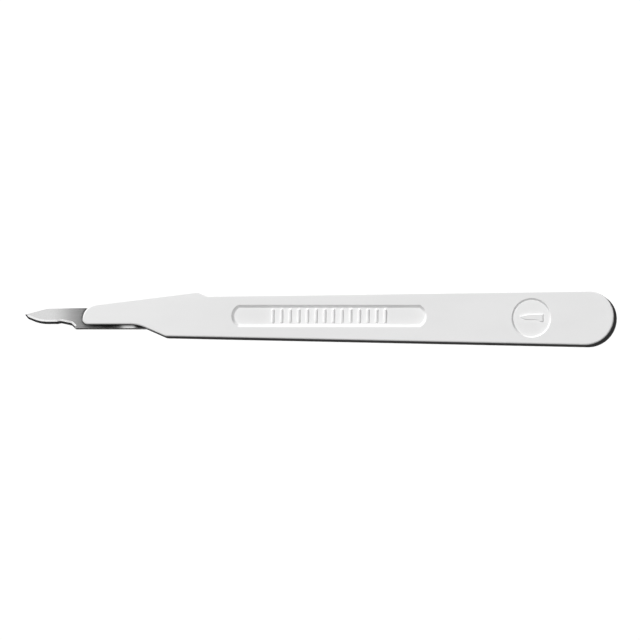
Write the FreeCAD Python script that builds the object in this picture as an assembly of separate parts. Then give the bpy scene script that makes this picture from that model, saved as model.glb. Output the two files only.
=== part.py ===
import FreeCAD, Part
import math
import os

# Disposable scalpel in millimetres: a moulded plastic handle and a stainless steel blade staked to it.
# The handle lies on its back. +X runs to the tail, -X to the blade's tip, +Y to the spine's side and
# +Z out of the face that carries the ribs. The origin is under the middle of the whole scalpel.

# Handle, seen from the face
handle_length = 135.25
tail_radius = 6.88
tail_end_height = 0.4
upper_edge_angle = 0.77
lower_edge_angle = 1.20
nose_lower_radius = 1.2

# Finger stop on the upper edge, measured from the nose to its peak
stop_from_nose = 29.2
stop_height = 1.12
stop_front_angle = 6.95
stop_back_angle = 24.0
stop_peak_radius = 2.0
stop_foot_radius = 3.0

# Neck: the narrow tongue over the blade, then a slope down to the full width
tongue_drop = 1.55
neck_from_nose = 21.2
neck_slope_angle = 23.5
neck_blend_radius = 10.5
neck_corner_radius = 1.5

# Handle, seen from the side
handle_thickness = 4.6
nose_thickness = 2.8
thinning_from_nose = 33.0
thinning_blend_radius = 300.0
edge_radius = 0.35

# Blade, seen from the face. Lengths run back from its tip, and heights are from the scalpel's axis
blade_thickness = 0.4
blade_reach = 14.75
blade_length = 36.95
shank_top = 2.64
shank_bottom = -2.45
tip_height = 0.98
tip_bend_length = 0.6
tip_bend_height = 0.18
tip_bend_radius = 1.5
belly_bend_length = 3.8
belly_radius = 9.0
cutting_edge_height = -1.1
relief_start_length = 8.15
relief_peak_length = 9.05
relief_peak_height = -0.9
relief_radius = 1.2
heel_length = 11.75
heel_height = -1.48
heel_radius = 0.4
step_length = 12.75
step_radius = 0.5
end_slant_angle = 23.0
end_corner_radius = 0.4
spine_rise_length = 13.75
spine_rise_radius = 20.0
clip_length = 5.55
clip_height = 2.46
clip_radius = 3.0

# Bevels on both faces along the cutting edge: the wide ground one, and the honed one at the edge itself
bevel_width = 0.5
honed_width = 0.3
honed_angle = 20.0
edge_land = 0.03

# Keyhole slot in the blade's shank, its narrow part in front and its wide part near the slanted end
slot_from_end = 3.2
slot_narrow_length = 9.2
slot_narrow_width = 2.0
slot_wide_length = 5.4
slot_wide_width = 3.0
slot_corner_radius = 0.4

# Seat of the blade in the back of the handle
seat_clearance = 0.1
seat_wall_from_nose = 7.0
stake_end_gap = 1.2
stake_head_overhang = 0.6
stake_head_height = 0.55
stake_head_radius = 0.3
locator_end_gap = 0.5
locator_stand = 0.35
locator_chamfer = 0.2

# Long recessed panel on both faces
panel_from_tail = 72.4
panel_length = 49.7
panel_width = 5.6
panel_offset = 0.48
panel_end_radius = 3.1
panel_corner_radius = 0.35
panel_depth = 0.8
panel_draft_angle = 38.0
panel_floor_radius = 0.15
panel_rim_radius = 0.12

# Row of raised ribs in the face's panel
rib_row_length = 28.6
rib_pitch = 2.2
rib_width = 0.9
rib_margin = 0.9
rib_height = 0.55
rib_draft = 0.3

# Round recess near the tail, holding a small raised figure of the blade's front
disc_from_tail = 20.95
disc_diameter = 10.1
disc_depth = 0.55
disc_draft_angle = 37.0
mark_scale = 0.42
mark_height = 0.45
mark_draft = 0.25

# Places that follow from the sizes
tip_x = -(handle_length + blade_reach) / 2
nose_x = tip_x + blade_reach
tail_x = nose_x + handle_length
middle_z = handle_thickness / 2
seat_z = middle_z + blade_thickness / 2
blade_back_z = seat_z - blade_thickness
shank_axis = (shank_top + shank_bottom) / 2
end_slant = math.tan(math.radians(end_slant_angle))
slot_end_x = tip_x + blade_length - (shank_top - shank_axis) * end_slant - slot_from_end
slot_step_x = slot_end_x - slot_wide_length
slot_start_x = slot_step_x - slot_narrow_length
panel_x = tail_x - panel_from_tail
panel_floor_z = handle_thickness - panel_depth
disc_x = tail_x - disc_from_tail
disc_floor_z = handle_thickness - disc_depth


def slope(angle):
    return math.tan(math.radians(angle))


def rounded_wire(corners, z=0.0):
    """Closed wire through (x, y, radius) corners, each rounded by a tangent arc."""
    edges = []
    last_end = None
    first_start = None
    for index, (x, y, radius) in enumerate(corners):
        corner = FreeCAD.Vector(x, y, z)
        before = corners[index - 1]
        after = corners[(index + 1) % len(corners)]
        back = (FreeCAD.Vector(before[0], before[1], z) - corner).normalize()
        ahead = (FreeCAD.Vector(after[0], after[1], z) - corner).normalize()
        half = back.getAngle(ahead) / 2
        start = corner + back * (radius / math.tan(half))
        end = corner + ahead * (radius / math.tan(half))
        if first_start is None:
            first_start = start
        if last_end is not None and last_end.distanceToPoint(start) > 1e-6:
            edges.append(Part.LineSegment(last_end, start).toShape())
        if radius > 0:
            inward = (back + ahead).normalize()
            middle = corner + inward * (radius / math.sin(half) - radius)
            edges.append(Part.Arc(start, middle, end).toShape())
        last_end = end
    if last_end.distanceToPoint(first_start) > 1e-6:
        edges.append(Part.LineSegment(last_end, first_start).toShape())
    return Part.Wire(edges)


def prism(wire, bottom, top):
    solid = Part.Face(wire).extrude(FreeCAD.Vector(0, 0, top - bottom))
    solid.translate(FreeCAD.Vector(0, 0, bottom))
    return solid


def mirrored(shape):
    """The same shape on the other side of the scalpel's middle plane."""
    return shape.mirror(FreeCAD.Vector(0, 0, middle_z), FreeCAD.Vector(0, 0, 1))


def upper_edge(x):
    """Height of the handle's straight upper edge, tangent to a tail of the mean radius."""
    start = tail_x - tail_radius
    return tail_radius / math.cos(math.radians(upper_edge_angle)) + (x - start) * slope(upper_edge_angle)


def lower_edge(x):
    start = tail_x - tail_radius
    return -tail_radius / math.cos(math.radians(lower_edge_angle)) - (x - start) * slope(lower_edge_angle)


def handle_outline():
    stop_x = nose_x + stop_from_nose
    stop_y = upper_edge(stop_x) + stop_height
    foot_run = stop_height / (slope(stop_back_angle) + slope(upper_edge_angle))
    foot_x = stop_x + foot_run
    neck_x = nose_x + neck_from_nose
    neck_y = lower_edge(neck_x)
    neck_start_x = neck_x - (-tongue_drop - neck_y) / slope(neck_slope_angle)
    nose_top = stop_y - stop_from_nose * slope(stop_front_angle)
    nose_rise = nose_top + tongue_drop - nose_lower_radius
    nose_front_radius = nose_rise * slope(45 + stop_front_angle / 2)
    tail_low = lower_edge(tail_x)
    tail_top = upper_edge(tail_x)
    tail_lower_radius = (tail_end_height - tail_low) / slope(45 + lower_edge_angle / 2)
    tail_upper_radius = (tail_top - tail_end_height) / slope(45 + upper_edge_angle / 2)
    return [
        (nose_x, -tongue_drop, nose_lower_radius),
        (neck_start_x, -tongue_drop, neck_blend_radius),
        (neck_x, neck_y, neck_corner_radius),
        (tail_x, tail_low, tail_lower_radius),
        (tail_x, tail_top, tail_upper_radius),
        (foot_x, upper_edge(foot_x), stop_foot_radius),
        (stop_x, stop_y, stop_peak_radius),
        (nose_x, nose_top, nose_front_radius),
    ]


def obround(left, right, axis, half_width):
    """Corners of a slot with round ends along X."""
    return [
        (left, axis - half_width, half_width),
        (right, axis - half_width, half_width),
        (right, axis + half_width, half_width),
        (left, axis + half_width, half_width),
    ]


def side_profile():
    """Slab that is full from the tail to the finger stop and thins evenly to the nose."""
    thin_x = nose_x + thinning_from_nose
    ahead = nose_x - tail_radius
    behind = tail_x + tail_radius
    drop = (handle_thickness - nose_thickness) / 2 * (thin_x - ahead) / thinning_from_nose
    corners = [
        (ahead, drop, 0),
        (thin_x, 0, thinning_blend_radius),
        (behind, 0, 0),
        (behind, handle_thickness, 0),
        (thin_x, handle_thickness, thinning_blend_radius),
        (ahead, handle_thickness - drop, 0),
    ]
    width = 4 * tail_radius
    slab = prism(rounded_wire(corners), 0, width)
    slab.rotate(FreeCAD.Vector(0, 0, 0), FreeCAD.Vector(1, 0, 0), 90)
    slab.translate(FreeCAD.Vector(0, width / 2, 0))
    return slab


def handle_body():
    block = prism(rounded_wire(handle_outline()), 0, handle_thickness)
    body = block.common(side_profile())
    rims = [edge for edge in body.Edges if edge.BoundBox.XLength > 0.001]
    return body.makeFillet(edge_radius, rims)


def blade_end(y):
    """Rear end of the blade at the height y: a slanted line, furthest back at the spine."""
    return tip_x + blade_length - (shank_top - y) * end_slant


def blade_outline():
    return [
        (tip_x, tip_height, 0),
        (tip_x + tip_bend_length, tip_bend_height, tip_bend_radius),
        (tip_x + belly_bend_length, cutting_edge_height, belly_radius),
        (tip_x + relief_start_length, cutting_edge_height, relief_radius),
        (tip_x + relief_peak_length, relief_peak_height, relief_radius),
        (tip_x + heel_length, heel_height, heel_radius),
        (tip_x + step_length, shank_bottom, step_radius),
        (blade_end(shank_bottom), shank_bottom, end_corner_radius),
        (blade_end(shank_top), shank_top, end_corner_radius),
        (tip_x + spine_rise_length, shank_top, spine_rise_radius),
        (tip_x + clip_length, clip_height, clip_radius),
    ]


def slot_outline():
    """Keyhole: a narrow slot with a round front end that widens at 45 degrees."""
    narrow = slot_narrow_width / 2
    wide = slot_wide_width / 2
    shoulder_x = slot_step_x + wide - narrow
    return [
        (slot_start_x, shank_axis - narrow, narrow),
        (slot_step_x, shank_axis - narrow, slot_corner_radius),
        (shoulder_x, shank_axis - wide, slot_corner_radius),
        (slot_end_x, shank_axis - wide, wide),
        (slot_end_x, shank_axis + wide, wide),
        (shoulder_x, shank_axis + wide, slot_corner_radius),
        (slot_step_x, shank_axis + narrow, slot_corner_radius),
        (slot_start_x, shank_axis + narrow, narrow),
    ]


def bevel_cutter():
    """Wedge swept along the edge from the tip to the shank's step, for both bevels of one face."""
    outline = rounded_wire(blade_outline(), middle_z)
    cutting = []
    for edge in outline.Edges:
        box = edge.BoundBox
        if box.YMax < tip_height + 0.001 and box.XMax < tip_x + step_length:
            cutting.append(edge)
    path = Part.Wire(cutting)
    start = FreeCAD.Vector(tip_x, tip_height, middle_z + edge_land / 2)
    along = cutting[0].tangentAt(cutting[0].FirstParameter)
    inward = FreeCAD.Vector(-along.y, along.x, 0)
    upward = FreeCAD.Vector(0, 0, 1)
    honed_rise = honed_width * slope(honed_angle)
    ground_rise = (blade_thickness - edge_land) / 2 - honed_rise
    margin = bevel_width / 6
    outer = start - (inward + upward * slope(honed_angle)) * margin
    knee = start + inward * honed_width + upward * honed_rise
    inner = knee + (inward + upward * (ground_rise / bevel_width)) * (bevel_width + margin)
    above = start - inward * margin + upward * blade_thickness
    section = Part.makePolygon([outer, knee, inner, above, outer])
    return path.makePipeShell([section], True, False)


def ground_blade():
    """Flat strip, ground to an edge from both faces, with the keyhole slot through its shank."""
    strip = prism(rounded_wire(blade_outline()), blade_back_z, seat_z)
    bevel = bevel_cutter()
    strip = strip.cut(bevel).cut(mirrored(bevel))
    return strip.cut(prism(rounded_wire(slot_outline()), blade_back_z, seat_z))


def seat_pocket():
    """Space for the blade in the back: open at the front and below, walled at the spine and the end."""
    ahead = nose_x - tail_radius
    top = shank_top + seat_clearance
    bottom = shank_bottom - seat_clearance
    end_gap = seat_clearance / math.cos(math.radians(end_slant_angle))
    pocket = [
        (ahead, bottom, 0),
        (blade_end(bottom) + end_gap, bottom, end_corner_radius),
        (blade_end(top) + end_gap, top, end_corner_radius),
        (ahead, top, 0),
    ]
    wall_x = nose_x + seat_wall_from_nose
    front = [
        (ahead, -tail_radius, 0),
        (wall_x, -tail_radius, 0),
        (wall_x, tail_radius, 0),
        (ahead, tail_radius, 0),
    ]
    return prism(rounded_wire(pocket), 0, seat_z).fuse(prism(rounded_wire(front), 0, seat_z))


def staked_boss():
    """Boss through the narrow part of the keyhole, with the head that holds the blade on its seat."""
    left = slot_start_x + seat_clearance
    right = slot_step_x - stake_end_gap
    half_width = slot_narrow_width / 2 - seat_clearance
    boss = prism(rounded_wire(obround(left, right, shank_axis, half_width)), blade_back_z, seat_z)
    grow = stake_head_overhang
    head_wire = rounded_wire(obround(left - grow, right + grow, shank_axis, half_width + grow))
    head = prism(head_wire, blade_back_z - stake_head_height, blade_back_z)
    rim = [edge for edge in head.Edges if edge.BoundBox.ZMax < blade_back_z - stake_head_height / 2]
    return boss.fuse(head.makeFillet(stake_head_radius, rim))


def locating_boss():
    """Boss that fills the wide part of the keyhole and stands a little above the blade."""
    half_width = slot_wide_width / 2 - seat_clearance
    left = slot_step_x + locator_end_gap
    right = slot_end_x - seat_clearance
    outer_z = blade_back_z - locator_stand
    boss = prism(rounded_wire(obround(left, right, shank_axis, half_width)), outer_z, seat_z)
    rim = [edge for edge in boss.Edges if edge.BoundBox.ZMax < outer_z + 0.001]
    return boss.makeChamfer(locator_chamfer, rim)


def panel_outline(inset, z):
    """Long straight sides between shallow arcs, drawn in by the inset, at the height z."""
    half_width = panel_width / 2 - inset
    end_radius = panel_end_radius - inset
    reach = end_radius - math.sqrt(end_radius ** 2 - half_width ** 2)
    right = FreeCAD.Vector(panel_x + panel_length / 2 - inset, panel_offset, z)
    left = FreeCAD.Vector(panel_x - panel_length / 2 + inset, panel_offset, z)
    lower_right = right + FreeCAD.Vector(-reach, -half_width, 0)
    upper_right = right + FreeCAD.Vector(-reach, half_width, 0)
    upper_left = left + FreeCAD.Vector(reach, half_width, 0)
    lower_left = left + FreeCAD.Vector(reach, -half_width, 0)
    return Part.Wire([
        Part.Arc(lower_right, right, upper_right).toShape(),
        Part.LineSegment(upper_right, upper_left).toShape(),
        Part.Arc(upper_left, left, lower_left).toShape(),
        Part.LineSegment(lower_left, lower_right).toShape(),
    ])


def rim_edges(body, area, z):
    """Edges that a recess within this box has left in the flat face at the height z."""
    rim = []
    for edge in body.Edges:
        box = edge.BoundBox
        flat = abs(box.ZMin - z) < 0.001 and abs(box.ZMax - z) < 0.001
        within = area.XMin - 0.001 < box.XMin and box.XMax < area.XMax + 0.001
        if flat and within and area.YMin - 0.001 < box.YMin and box.YMax < area.YMax + 0.001:
            rim.append(edge)
    return rim


def panel_cutter():
    """Block that sinks the panel into the face, with drafted walls, rounded corners and a rounded floor."""
    floor_outline = panel_outline(panel_depth * slope(panel_draft_angle), panel_floor_z)
    cutter = Part.makeLoft([floor_outline, panel_outline(0, handle_thickness)], True, True)
    corners = [edge for edge in cutter.Edges if edge.BoundBox.ZLength > 0.001]
    cutter = cutter.makeFillet(panel_corner_radius, corners)
    floor = [edge for edge in cutter.Edges if edge.BoundBox.ZMax < panel_floor_z + 0.001]
    return cutter.makeFillet(panel_floor_radius, floor)


def sink_panels(body):
    """The same long recess in the face and in the back."""
    cutter = panel_cutter()
    body = body.cut(cutter).cut(mirrored(cutter))
    area = cutter.BoundBox
    rims = rim_edges(body, area, handle_thickness) + rim_edges(body, area, 0)
    return body.makeFillet(panel_rim_radius, rims)


def disc_cutter():
    """Flat cone that sinks the round recess."""
    radius = disc_diameter / 2
    floor_radius = radius - disc_depth * slope(disc_draft_angle)
    return Part.makeCone(floor_radius, radius, disc_depth, FreeCAD.Vector(disc_x, 0, disc_floor_z))


def rib_wire(x, inset, z):
    """Outline of the rib at x, drawn in by the inset of its sloping wall, at the height z."""
    half_length = panel_width / 2 - rib_margin - inset
    half_width = rib_width / 2 - inset
    corners = [
        (x - half_width, panel_offset - half_length, half_width),
        (x + half_width, panel_offset - half_length, half_width),
        (x + half_width, panel_offset + half_length, half_width),
        (x - half_width, panel_offset + half_length, half_width),
    ]
    return rounded_wire(corners, z)


def panel_ribs():
    """Row of short upright ribs with drafted walls, centred in the face's panel."""
    count = int(rib_row_length / rib_pitch) + 1
    first_x = panel_x - rib_pitch * (count - 1) / 2
    ribs = []
    for index in range(count):
        x = first_x + rib_pitch * index
        foot = rib_wire(x, 0, panel_floor_z)
        top = rib_wire(x, rib_draft, panel_floor_z + rib_height)
        ribs.append(Part.makeLoft([foot, top], True, True))
    return ribs


def mark_wire(inset, z):
    """Small outline of the blade as it shows ahead of the handle, drawn in by the inset, at the height z."""
    lower = blade_outline()[:7]
    upper = blade_outline()[9:]
    rear = [(nose_x, shank_bottom, 0), (nose_x, shank_top, 0)]
    middle_x = tip_x + blade_reach / 2
    length_scale = mark_scale - 2 * inset / blade_reach
    height_scale = mark_scale - 2 * inset / (shank_top - shank_bottom)
    corners = []
    for x, y, radius in lower + rear + upper:
        small_x = disc_x + (x - middle_x) * length_scale
        corners.append((small_x, (y - shank_axis) * height_scale, radius * height_scale))
    return rounded_wire(corners, z)


def blade_mark():
    foot = mark_wire(0, disc_floor_z)
    top = mark_wire(mark_draft, disc_floor_z + mark_height)
    return Part.makeLoft([foot, top], True, True)


def moulded_handle():
    body = handle_body()
    body = sink_panels(body)
    body = body.cut(disc_cutter()).cut(seat_pocket())
    body = body.multiFuse([staked_boss(), locating_boss(), blade_mark()] + panel_ribs())
    return body.removeSplitter().Solids[0]


os.makedirs("parts", exist_ok=True)
moulded_handle().exportStep("parts/handle.step")
ground_blade().Solids[0].exportStep("parts/blade.step")
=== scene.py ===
import math

import bpy
from mathutils import Matrix, Vector


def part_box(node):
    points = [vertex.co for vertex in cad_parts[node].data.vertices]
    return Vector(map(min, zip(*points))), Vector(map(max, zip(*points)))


# Disposable scalpel on a white table, in metres, seen almost straight onto its face through a long lens.

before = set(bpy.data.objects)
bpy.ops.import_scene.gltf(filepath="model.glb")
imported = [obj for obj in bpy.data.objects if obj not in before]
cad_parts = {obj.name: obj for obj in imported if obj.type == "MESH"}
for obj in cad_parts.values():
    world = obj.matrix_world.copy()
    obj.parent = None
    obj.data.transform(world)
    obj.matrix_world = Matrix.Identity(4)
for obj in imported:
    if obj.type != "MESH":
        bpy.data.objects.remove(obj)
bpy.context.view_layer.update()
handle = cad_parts["handle"]
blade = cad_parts["blade"]
handle_low, handle_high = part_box("handle")
blade_low, blade_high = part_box("blade")
MM = 0.001
MIDDLE_Z = (handle_low.z + handle_high.z) / 2

# Camera: a little to the right and below, so that the right and the lower side walls show as thin lines
LENS = 1200.0
SENSOR = 36.0
VIEW_SLOPE = 0.075
VIEW_WIDTH = 0.1624
NEAR_LIMIT = 0.01
FAR_LIMIT = 50.0
AIM = Vector((0.00031, -0.00055, handle_high.z))

# Lamps, each given by the direction it shines from, its distance and width, and the light that it
# lays on a level face. Together with the world's light that makes 1, where a tone shows as it is written
KEY_DIRECTION = Vector((-0.065, 0.065, 1.0))
KEY_DISTANCE = 1.5
KEY_SIZE = 0.03
KEY_LIGHT = 0.740
SIDE_DIRECTION = Vector((-0.85, 1.2, 0.36))
SIDE_DISTANCE = 3.0
SIDE_SIZE = 0.9
SIDE_LIGHT = 0.236
WORLD_LIGHT = 0.025

# Table: its tone to the camera and in reflections, which shows white where the key lamp alone lights it,
# and how much light it throws back
TABLE_HALF = 3.0
TABLE_WHITE = 1.38
TABLE_BOUNCE = 0.08

# Studio seen in reflections: white overhead, with dark cloths to the right, the lower side and the left
STUDIO_WHITE = 1.0
CLOTH_TONE = 0.015
RIGHT_CLOTH = (0.02, 0.30)
LOWER_CLOTH = (0.34, 0.48)
LEFT_CLOTH = (0.30, 0.42)

# Between none and one bounce off a matt surface
FIRST_BOUNCE = 0.5

# Moulded plastic: faces are told from sides by how upright they stand. Scales are in waves per metre
PLASTIC_TONES = (0.777, 0.799)
PLASTIC_SHINE = 0.3
FACE_UPRIGHT = (0.2, 0.9)
SIDE_ROUGHNESS = (0.62, 0.72)
FACE_SMOOTHER = 0.24
GRAIN_SCALE = 4500.0
GRAIN_SHARE = 0.25
CLOUD_SCALE = 120.0
CLOUD_STRETCH = (0.35, 1.0, 1.0)
MIDDLE_NOISE = (0.3, 0.7)
PARTING_LINE = (0.03 * MM, 0.09 * MM)
PLASTIC_BUMP = 0.5
PLASTIC_BUMP_HEIGHT = 0.03 * MM

# Steel: flat faces, the ground bevel and the steeper faces are told by how upright they stand
FLAT_UPRIGHT = (0.992, 0.998)
BEVEL_UPRIGHT = (0.93, 0.96)
FLAT_TONES = (0.70, 0.76)
BEVEL_TONES = (0.90, 1.0)
# Painted shade: the steep faces, the honed bevel and the blade's sides, get this darker tone
STEEP_SHADE_COLOUR = (0.25, 0.25, 0.26)
STEEL_ROUGHNESS = (0.16, 0.24)
BRUSH_SCALE = 9000.0
ALONG_STRETCH = (0.05, 1.0, 1.0)
ACROSS_STRETCH = (1.0, 0.05, 1.0)
WIDE_NOISE = (0.25, 0.75)
STEEL_BUMP = 0.25
STEEL_BUMP_HEIGHT = 0.004 * MM

# Lean of the polish along the blade: places in mm from the tip, and how far the face leans there
BLADE_LEAN = [(0.0, 0.0), (5.5, 0.0), (8.7, 0.075), (11.7, 0.12), (14.5, 0.145), (18.9, 0.22), (21.5, 0.30),
              (24.2, 0.17), (26.2, 0.0), (27.2, 0.0), (29.2, 0.30), (36.0, 0.30)]
LEAN_LIMIT = 0.32

# Painted shade: beside the handle's wall the blade's colour darkens by ambient occlusion, where the wall
# shades it
PAINTED_SHADE_REACH = 1.0 * MM
PAINTED_SHADE_TONE = 0.03
PAINTED_SHADE_OPENNESS = (0.5, 0.95)
PAINTED_SHADE_SAMPLES = 8


def cleared_tree(owner, output_type):
    """Empty node tree of a material or world, and its output node."""
    owner.use_nodes = True
    tree = owner.node_tree
    tree.nodes.clear()
    return tree, tree.nodes.new(output_type)


def principled_material(name):
    """Material with a Principled shader joined to its output."""
    material = bpy.data.materials.new(name)
    tree, output = cleared_tree(material, "ShaderNodeOutputMaterial")
    shader = tree.nodes.new("ShaderNodeBsdfPrincipled")
    tree.links.new(shader.outputs["BSDF"], output.inputs["Surface"])
    return material, tree, shader


def math_node(tree, operation, first, second=None):
    """Math node between two sockets or numbers, and its result."""
    node = tree.nodes.new("ShaderNodeMath")
    node.operation = operation
    for index, value in enumerate((first, second)):
        if value is None:
            continue
        if isinstance(value, (int, float)):
            node.inputs[index].default_value = value
        else:
            tree.links.new(value, node.inputs[index])
    return node.outputs[0]


def split(tree, vector):
    """X, Y and Z of a vector, by name."""
    node = tree.nodes.new("ShaderNodeSeparateXYZ")
    tree.links.new(vector, node.inputs["Vector"])
    return node.outputs


def ranged(tree, value, limits, low=0.0, high=1.0):
    """Value carried smoothly from the range between the limits to low..high, and held at both ends."""
    node = tree.nodes.new("ShaderNodeMapRange")
    node.interpolation_type = "SMOOTHSTEP"
    tree.links.new(value, node.inputs["Value"])
    node.inputs["From Min"].default_value = limits[0]
    node.inputs["From Max"].default_value = limits[1]
    node.inputs["To Min"].default_value = low
    node.inputs["To Max"].default_value = high
    return node.outputs["Result"]


def stretched_noise(tree, place, stretch, scale, detail=2.0):
    """Noise over the place in metres, drawn out by the stretch along each axis."""
    mapping = tree.nodes.new("ShaderNodeMapping")
    mapping.inputs["Scale"].default_value = stretch
    tree.links.new(place, mapping.inputs["Vector"])
    noise = tree.nodes.new("ShaderNodeTexNoise")
    noise.inputs["Scale"].default_value = scale
    noise.inputs["Detail"].default_value = detail
    tree.links.new(mapping.outputs["Vector"], noise.inputs["Vector"])
    return noise.outputs["Fac"]


def mixed(tree, factor, first, second):
    """Colour that runs from the first to the second with the factor. Each is a grey, a colour or a socket."""
    mix = tree.nodes.new("ShaderNodeMix")
    mix.data_type = "RGBA"
    for name, value in (("A", first), ("B", second)):
        if isinstance(value, (int, float)):
            mix.inputs[name].default_value = (value, value, value, 1.0)
        elif isinstance(value, tuple):
            mix.inputs[name].default_value = (*value, 1.0)
        else:
            tree.links.new(value, mix.inputs[name])
    tree.links.new(factor, mix.inputs["Factor"])
    return mix.outputs["Result"]


def add_bump(tree, shader, relief, strength, height, normal=None):
    """Fine relief on the shader's normal."""
    bump = tree.nodes.new("ShaderNodeBump")
    bump.inputs["Strength"].default_value = strength
    bump.inputs["Distance"].default_value = height
    tree.links.new(relief, bump.inputs["Height"])
    if normal is not None:
        tree.links.new(normal, bump.inputs["Normal"])
    tree.links.new(bump.outputs["Normal"], shader.inputs["Normal"])


def handle_material():
    """White moulded plastic: satin faces, matt sides with the parting line of the mould, and a fine grain."""
    material, tree, shader = principled_material("moulded_plastic")
    place = tree.nodes.new("ShaderNodeTexCoord").outputs["Object"]
    normal = tree.nodes.new("ShaderNodeNewGeometry").outputs["Normal"]
    grain = stretched_noise(tree, place, (1.0, 1.0, 1.0), GRAIN_SCALE)
    cloud = stretched_noise(tree, place, CLOUD_STRETCH, CLOUD_SCALE)
    tone = mixed(tree, ranged(tree, cloud, MIDDLE_NOISE), *PLASTIC_TONES)
    tree.links.new(tone, shader.inputs["Base Color"])

    level = ranged(tree, math_node(tree, "ABSOLUTE", split(tree, normal)["Z"]), FACE_UPRIGHT)
    tree.links.new(math_node(tree, "MULTIPLY", level, PLASTIC_SHINE), shader.inputs["Specular IOR Level"])
    matt = ranged(tree, grain, MIDDLE_NOISE, *SIDE_ROUGHNESS)
    roughness = math_node(tree, "SUBTRACT", matt, math_node(tree, "MULTIPLY", level, FACE_SMOOTHER))
    tree.links.new(roughness, shader.inputs["Roughness"])

    off_middle = math_node(tree, "SUBTRACT", split(tree, place)["Z"], MIDDLE_Z)
    parting = ranged(tree, math_node(tree, "ABSOLUTE", off_middle), PARTING_LINE, 1.0, 0.0)
    relief = math_node(tree, "ADD", math_node(tree, "MULTIPLY", grain, GRAIN_SHARE), parting)
    add_bump(tree, shader, relief, PLASTIC_BUMP, PLASTIC_BUMP_HEIGHT)
    return material


def lean_of_face(tree, along):
    """How far the blade's face leans towards the tail at each place along it, from a listed curve."""
    length = blade_high.x - blade_low.x
    share = math_node(tree, "DIVIDE", math_node(tree, "SUBTRACT", along, blade_low.x), length)
    ramp = tree.nodes.new("ShaderNodeValToRGB")
    ramp.color_ramp.interpolation = "LINEAR"
    stops = ramp.color_ramp.elements
    while len(stops) < len(BLADE_LEAN):
        stops.new(0.5)
    for stop, (distance, lean) in zip(stops, BLADE_LEAN):
        stop.position = distance * MM / length
        tone = lean / LEAN_LIMIT
        stop.color = (tone, tone, tone, 1.0)
    tree.links.new(share, ramp.inputs["Fac"])
    return math_node(tree, "MULTIPLY", ramp.outputs["Color"], LEAN_LIMIT)


def leaning_normal(tree, normal, lean):
    """The normal pushed along X by the lean."""
    push = tree.nodes.new("ShaderNodeCombineXYZ")
    tree.links.new(lean, push.inputs["X"])
    leaning = tree.nodes.new("ShaderNodeVectorMath")
    leaning.operation = "ADD"
    tree.links.new(normal, leaning.inputs[0])
    tree.links.new(push.outputs["Vector"], leaning.inputs[1])
    even = tree.nodes.new("ShaderNodeVectorMath")
    even.operation = "NORMALIZE"
    tree.links.new(leaning.outputs["Vector"], even.inputs[0])
    return even.outputs["Vector"]


def blade_material():
    """Stainless steel: brushed flat faces, a bright ground bevel and a honed one at the edge. Painted shade
    darkens the steep faces, the honed bevel and the sides among them, and the blade beside the handle's wall.
    """
    material, tree, shader = principled_material("ground_steel")
    place = tree.nodes.new("ShaderNodeTexCoord").outputs["Object"]
    normal = tree.nodes.new("ShaderNodeNewGeometry").outputs["Normal"]
    upright = math_node(tree, "ABSOLUTE", split(tree, normal)["Z"])
    flat = ranged(tree, upright, FLAT_UPRIGHT)
    level = ranged(tree, upright, BEVEL_UPRIGHT)
    brushed = stretched_noise(tree, place, ALONG_STRETCH, BRUSH_SCALE)
    ground_lines = stretched_noise(tree, place, ACROSS_STRETCH, BRUSH_SCALE)
    flat_tone = mixed(tree, ranged(tree, brushed, WIDE_NOISE), *FLAT_TONES)
    bevel_tone = mixed(tree, ranged(tree, ground_lines, WIDE_NOISE), *BEVEL_TONES)
    colour = mixed(tree, math_node(tree, "SUBTRACT", level, flat), flat_tone, bevel_tone)
    # Painted shade: the steep faces take the darker tone
    colour = mixed(tree, level, STEEP_SHADE_COLOUR, colour)

    # Painted shade: ambient occlusion darkens the colour where the handle's wall stands close
    painted_shade_occlusion = tree.nodes.new("ShaderNodeAmbientOcclusion")
    painted_shade_occlusion.samples = PAINTED_SHADE_SAMPLES
    painted_shade_occlusion.inputs["Distance"].default_value = PAINTED_SHADE_REACH
    colour = mixed(tree, ranged(tree, painted_shade_occlusion.outputs["AO"], PAINTED_SHADE_OPENNESS), PAINTED_SHADE_TONE, colour)
    tree.links.new(colour, shader.inputs["Base Color"])
    shader.inputs["Metallic"].default_value = 1.0
    tree.links.new(ranged(tree, brushed, MIDDLE_NOISE, *STEEL_ROUGHNESS), shader.inputs["Roughness"])

    lean = math_node(tree, "MULTIPLY", lean_of_face(tree, split(tree, place)["X"]), level)
    add_bump(tree, shader, brushed, STEEL_BUMP, STEEL_BUMP_HEIGHT, leaning_normal(tree, normal, lean))
    return material


def dress(node, material):
    """Give the whole node the one material."""
    node.data.materials.clear()
    node.data.materials.append(material)
    for face in node.data.polygons:
        face.material_index = 0


def seen_directly(tree, path):
    """1 where the camera looks, also by reflection or through glass, and 0 for light on a surface."""
    seen = math_node(tree, "MAXIMUM", path["Is Glossy Ray"], path["Is Transmission Ray"])
    seen = math_node(tree, "MAXIMUM", seen, path["Is Camera Ray"])
    unbounced = math_node(tree, "LESS_THAN", path["Diffuse Depth"], FIRST_BOUNCE)
    return math_node(tree, "MULTIPLY", seen, unbounced)


def table_material():
    """White to the camera and in reflections, darker to the light that bounces on, with a real shadow."""
    material = bpy.data.materials.new("table_white")
    tree, output = cleared_tree(material, "ShaderNodeOutputMaterial")
    path = tree.nodes.new("ShaderNodeLightPath").outputs
    diffuse = tree.nodes.new("ShaderNodeBsdfDiffuse")
    tone = mixed(tree, seen_directly(tree, path), TABLE_BOUNCE, TABLE_WHITE)
    tree.links.new(tone, diffuse.inputs["Color"])
    tree.links.new(diffuse.outputs[0], output.inputs["Surface"])
    return material


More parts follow.
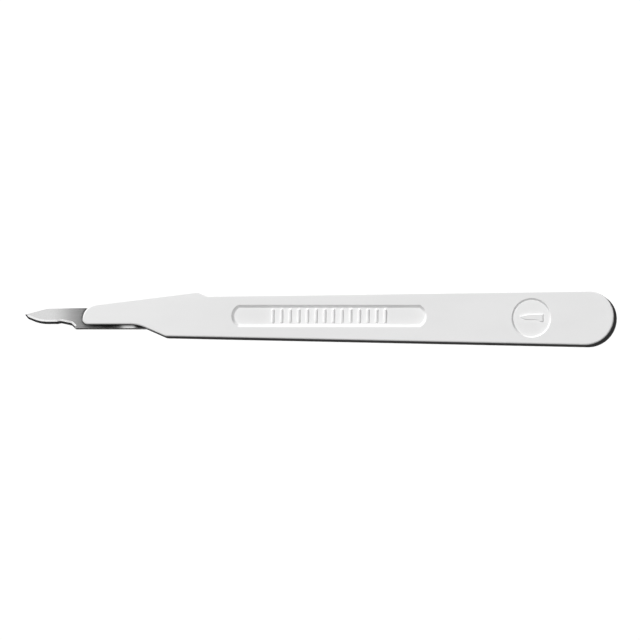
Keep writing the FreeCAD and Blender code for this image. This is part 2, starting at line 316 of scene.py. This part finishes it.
def add_table():
    """Square table under the part."""
    mesh = bpy.data.meshes.new("table")
    corners = [(-TABLE_HALF, -TABLE_HALF, 0), (TABLE_HALF, -TABLE_HALF, 0),
               (TABLE_HALF, TABLE_HALF, 0), (-TABLE_HALF, TABLE_HALF, 0)]
    mesh.from_pydata(corners, [], [(0, 1, 2, 3)])
    table = bpy.data.objects.new("table", mesh)
    bpy.context.scene.collection.objects.link(table)
    table.data.materials.append(table_material())
    return table


def add_world():
    """Low even light all round, white to the camera, and white with dark cloths to reflections."""
    world = bpy.data.worlds.new("studio")
    tree, output = cleared_tree(world, "ShaderNodeOutputWorld")
    background = tree.nodes.new("ShaderNodeBackground")
    path = tree.nodes.new("ShaderNodeLightPath").outputs
    direction = split(tree, tree.nodes.new("ShaderNodeTexCoord").outputs["Generated"])
    right = ranged(tree, direction["X"], RIGHT_CLOTH)
    lower = ranged(tree, math_node(tree, "MULTIPLY", direction["Y"], -1.0), LOWER_CLOTH)
    left = ranged(tree, math_node(tree, "MULTIPLY", direction["X"], -1.0), LEFT_CLOTH)
    cloth = math_node(tree, "MAXIMUM", math_node(tree, "MAXIMUM", right, lower), left)
    cloth = math_node(tree, "MULTIPLY", cloth, path["Is Glossy Ray"])
    studio = mixed(tree, cloth, STUDIO_WHITE, CLOTH_TONE)
    tone = mixed(tree, seen_directly(tree, path), WORLD_LIGHT, studio)
    tree.links.new(tone, background.inputs["Color"])
    tree.links.new(background.outputs[0], output.inputs["Surface"])
    bpy.context.scene.world = world


def add_lamp(name, direction, distance, size, light):
    """Round area lamp aimed at the part. Its light is what falls on a level face."""
    toward = direction.normalized()
    lamp = bpy.data.lights.new(name, "AREA")
    lamp.shape = "DISK"
    lamp.size = size
    lamp.energy = light * math.pi ** 2 * distance ** 2 / toward.z
    lamp_object = bpy.data.objects.new(name, lamp)
    lamp_object.location = AIM + toward * distance
    lamp_object.rotation_mode = "QUATERNION"
    lamp_object.rotation_quaternion = toward.to_track_quat("Z", "Y")
    bpy.context.scene.collection.objects.link(lamp_object)
    return lamp_object


def keep_off(lamp, table):
    """Keep the lamp's light off the table, and let nothing but the table stand in that light."""
    lit = bpy.data.collections.new("not_lit_by_" + lamp.name)
    lit.objects.link(table)
    lit.collection_objects[0].light_linking.link_state = "EXCLUDE"
    lamp.light_linking.receiver_collection = lit
    blocking = bpy.data.collections.new("in_the_way_of_" + lamp.name)
    blocking.objects.link(table)
    lamp.light_linking.blocker_collection = blocking


def add_camera():
    """Camera that looks at the part through the long lens."""
    data = bpy.data.cameras.new("camera")
    data.lens = LENS
    data.sensor_width = SENSOR
    data.clip_start = NEAR_LIMIT
    data.clip_end = FAR_LIMIT
    camera = bpy.data.objects.new("camera", data)
    toward = Vector((VIEW_SLOPE, -VIEW_SLOPE, 1.0)).normalized()
    camera.location = AIM + toward * (VIEW_WIDTH * LENS / SENSOR)
    right = (Vector((1, 0, 0)) - toward * toward.x).normalized()
    up = toward.cross(right)
    camera.rotation_mode = "QUATERNION"
    camera.rotation_quaternion = Matrix((right, up, toward)).transposed().to_quaternion()
    bpy.context.scene.collection.objects.link(camera)
    bpy.context.scene.camera = camera


dress(handle, handle_material())
dress(blade, blade_material())
table = add_table()
add_world()
key = add_lamp("key", KEY_DIRECTION, KEY_DISTANCE, KEY_SIZE, KEY_LIGHT)
key.visible_glossy = False
side = add_lamp("side", SIDE_DIRECTION, SIDE_DISTANCE, SIDE_SIZE, SIDE_LIGHT)
keep_off(side, table)
add_camera()
bpy.context.scene.view_settings.view_transform = "Standard"
